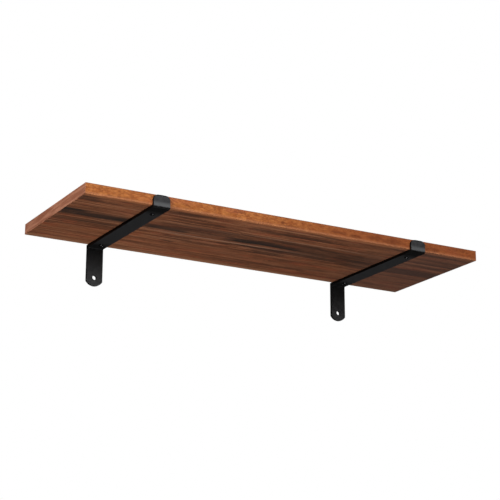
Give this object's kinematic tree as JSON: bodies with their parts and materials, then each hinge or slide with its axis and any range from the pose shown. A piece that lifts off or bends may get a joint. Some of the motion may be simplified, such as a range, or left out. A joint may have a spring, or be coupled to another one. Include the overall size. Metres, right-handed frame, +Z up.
{
  "type": "wall shelf with brackets",
  "caption": "Rectangular wood plank shelf on bent flat-steel strip brackets, each with a front lip, a flat arm under the plank and a short round-ended wall leg with a screw hole.",
  "frame": {"origin": "on the wall plane, midway between the holes in the bracket legs that take the wall screws", "axes": "+X along the shelf, +Y into the wall, +Z up; the front of the shelf faces -Y"},
  "size_m": [0.9144, 0.3174, 0.109],
  "materials": {
    "walnut_plank": "oiled dark walnut with black and reddish streaks, orange-brown on the front edge",
    "black_powder_coat": "satin black powder coat with a very fine texture",
    "black_screw": "black oxide, slightly shinier than the brackets"
  },
  "bodies": {
    "root": {"shelf_board": "walnut_plank", "bracket_left": "black_powder_coat", "bracket_right": "black_powder_coat", "screw_left_front": "black_screw", "screw_left_rear": "black_screw", "screw_right_front": "black_screw", "screw_right_rear": "black_screw"}
  },
  "joints": []
}
